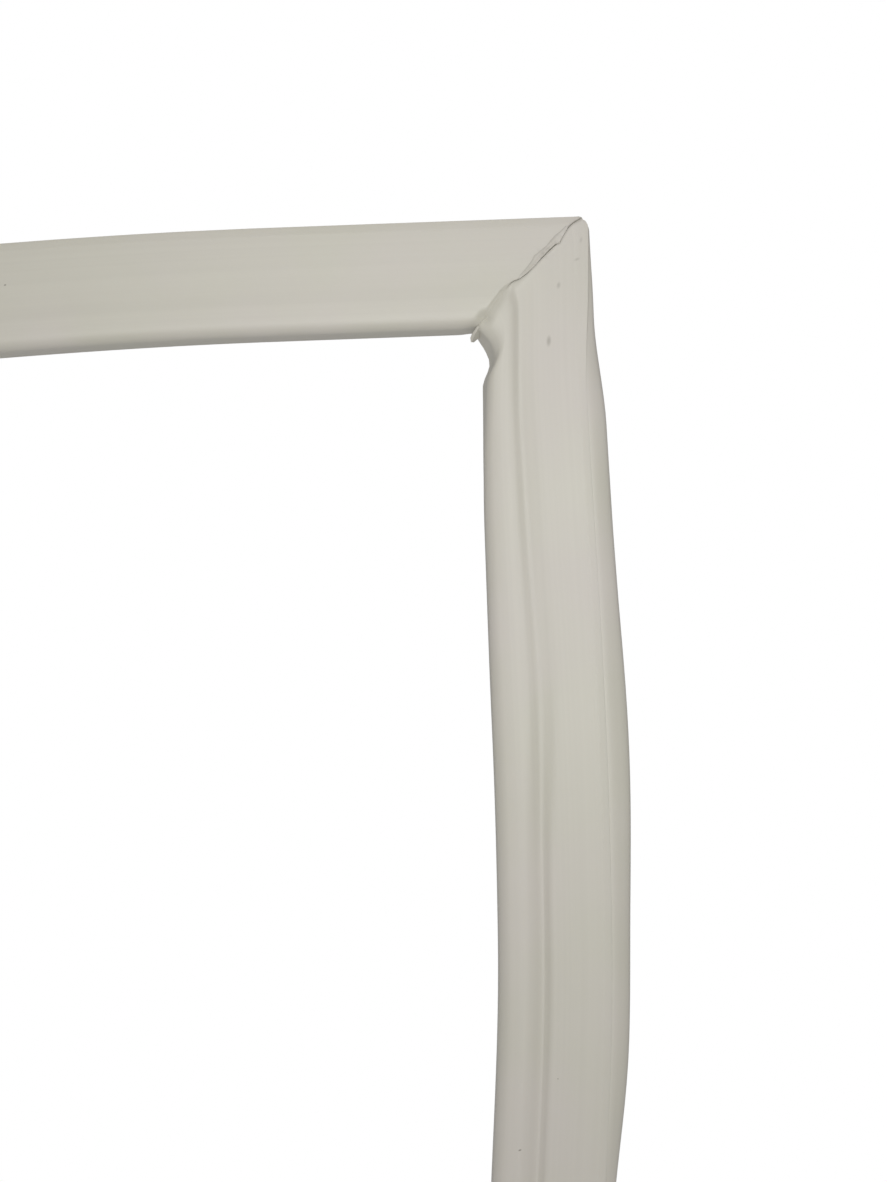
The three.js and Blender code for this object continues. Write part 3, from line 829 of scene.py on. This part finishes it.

# Dark marks: a pixel of the photo, length and width in mm, degrees that it leans, darkness. The
# first three are painted shade of shallow dents in the face; the rest are small dark marks.
DENT_SHADES_AND_SPECKS = [
    ((548.8, 341), 3.8, 1.6, 6, 0.36), ((558.6, 285.3), 2.4, 1.4, 14, 0.26),
    ((577, 259.3), 2.2, 1, 70, 0.22), ((581, 240), 2.2, 1.1, 15, 0.16),
    ((558, 1079), 0.5, 0.5, 0, 0.6), ((5, 285), 0.9, 0.6, 60, 0.7), ((541, 258), 1.5, 0.5, 45, 0.3),
    ((520, 1151), 1.2, 0.6, 70, 0.7), ((543, 254), 5, 1.6, -45, 0.14),
]
# dark marks mixed in: painted shade of step, flash, weld groove and dents, with grime and small
# marks
grime_and_shade = node(soft_pvc, "ShaderNodeMath", {0: shade_and_grime_value, 1: GRIME_AND_SHADE_STRENGTH}, operation="MULTIPLY")
for pixel, length, width, lean, darkness in DENT_SHADES_AND_SPECKS:
    middle = Vector((*under_pixel(pixel), 0)) * MM
    from_middle = node(soft_pvc, "ShaderNodeVectorMath", {0: place, 1: middle},
                       operation="SUBTRACT")
    leaned = node(soft_pvc, "ShaderNodeVectorRotate",
                  {"Vector": from_middle.outputs[0], "Angle": math.radians(lean)},
                  rotation_type="Z_AXIS")
    shares = node(soft_pvc, "ShaderNodeVectorMath",
                  {0: leaned.outputs[0], 1: (2 / (width * MM), 2 / (length * MM), 0)},
                  operation="MULTIPLY")
    distance = node(soft_pvc, "ShaderNodeVectorMath", {0: shares.outputs[0]}, operation="LENGTH")
    spot = node(soft_pvc, "ShaderNodeMapRange",
                {"Value": distance.outputs["Value"], "From Min": 0.1, "From Max": 1,
                 "To Min": darkness, "To Max": 0}, interpolation_type="SMOOTHSTEP")
    grime_and_shade = node(soft_pvc, "ShaderNodeMath", {0: grime_and_shade.outputs[0], 1: spot.outputs[0]},
                operation="MAXIMUM")

# The sockets of a Mix node that is set to colours
MIX_FACTOR, MIX_A, MIX_B, MIX_RESULT = 0, 6, 7, 2
# the skin darkened towards the grime colour by painted shade and grime
grimed_and_shaded = node(soft_pvc, "ShaderNodeMix",
              {MIX_FACTOR: grime_and_shade.outputs[0], MIX_A: lined.outputs[0], MIX_B: from_hex(GRIME_AND_SHADE_COLOUR)},
              data_type="RGBA")
roughness = node(soft_pvc, "ShaderNodeMapRange",
                 {"Value": mottle.outputs["Fac"], "From Min": NOISE_LOW, "From Max": NOISE_HIGH,
                  "To Min": PVC_ROUGHNESS[0], "To Max": PVC_ROUGHNESS[1]})
drawn_skin = node(soft_pvc, "ShaderNodeBump",
                  {"Height": die_lines.outputs["Fac"], "Strength": 1,
                   "Distance": DIE_LINE_DEPTH * MM})
grained_skin = node(soft_pvc, "ShaderNodeBump",
                    {"Height": grain.outputs["Fac"], "Strength": 1,
                     "Distance": GRAIN_DEPTH * MM, "Normal": drawn_skin.outputs[0]})
for output, socket in ((grimed_and_shaded.outputs[MIX_RESULT], "Base Color"),
                       (roughness.outputs[0], "Roughness"), (grained_skin.outputs[0], "Normal")):
    soft_pvc.node_tree.links.new(output, pvc_shader.inputs[socket])
gasket_mesh.materials.append(soft_pvc)
gasket = bpy.data.objects.new("gasket_frame_skin", gasket_mesh)
scene.collection.objects.link(gasket)
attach(gasket, "root")
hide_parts("gasket_frame")

# Magnetic strips. Flat bars of ferrite powder bound in rubber, cut square at the ends and pushed
# into the pocket of each side before the corners are welded. They stay as the CAD makes them.

# Ferrite rubber, rolled and slit: nearly black with a brown cast, matt, with fine pale dust and
# the marks of the slitting along it
magnetic_rubber = bpy.data.materials.new("magnetic_ferrite_rubber_slit")
magnetic_rubber.use_nodes = True
rubber_shader = magnetic_rubber.node_tree.nodes["Principled BSDF"]
rubber_shader.inputs["IOR"].default_value = 1.55

FERRITE_COLOURS, FERRITE_STOPS = ("2b2624", "3f3a37"), (0.15, 0.4)
FERRITE_ROUGHNESS = (0.62, 0.85)
FERRITE_GRAIN = 0.4  # mm
FERRITE_GRAIN_DEPTH = 0.02  # mm
SLIT_MARK_SPACING, SLIT_MARK_LENGTH = 0.6, 30  # mm

strip_place = node(magnetic_rubber, "ShaderNodeTexCoord").outputs["Object"]
powder = node(magnetic_rubber, "ShaderNodeTexNoise",
              {"Vector": strip_place, "Scale": 1 / (FERRITE_GRAIN * MM), "Detail": 3})
slit_scale = (1 / (SLIT_MARK_LENGTH * MM), 1 / (SLIT_MARK_LENGTH * MM),
              1 / (SLIT_MARK_SPACING * MM))
slit_space = node(magnetic_rubber, "ShaderNodeVectorMath", {0: strip_place, 1: slit_scale},
                  operation="MULTIPLY")
slit_marks = node(magnetic_rubber, "ShaderNodeTexNoise",
                  {"Vector": slit_space.outputs[0], "Scale": 1, "Detail": 2})
powder_and_marks = node(magnetic_rubber, "ShaderNodeMath",
                        {0: powder.outputs["Fac"], 1: slit_marks.outputs["Fac"]},
                        operation="MULTIPLY")
dusty = node(magnetic_rubber, "ShaderNodeValToRGB", {"Fac": powder_and_marks.outputs[0]})
for stop, position, colour in zip(dusty.color_ramp.elements, FERRITE_STOPS, FERRITE_COLOURS):
    stop.position = position
    stop.color = from_hex(colour)
worn = node(magnetic_rubber, "ShaderNodeMapRange",
            {"Value": slit_marks.outputs["Fac"], "From Min": NOISE_LOW, "From Max": NOISE_HIGH,
             "To Min": FERRITE_ROUGHNESS[0], "To Max": FERRITE_ROUGHNESS[1]})
gritty = node(magnetic_rubber, "ShaderNodeBump",
              {"Height": powder_and_marks.outputs[0], "Strength": 1,
               "Distance": FERRITE_GRAIN_DEPTH * MM})
for output, socket in ((dusty.outputs["Color"], "Base Color"), (worn.outputs[0], "Roughness"),
                       (gritty.outputs[0], "Normal")):
    magnetic_rubber.node_tree.links.new(output, rubber_shader.inputs[socket])

for side in sides:
    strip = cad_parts["magnetic_strip_" + side.name]
    for material_slot in strip.material_slots:
        material_slot.material = magnetic_rubber
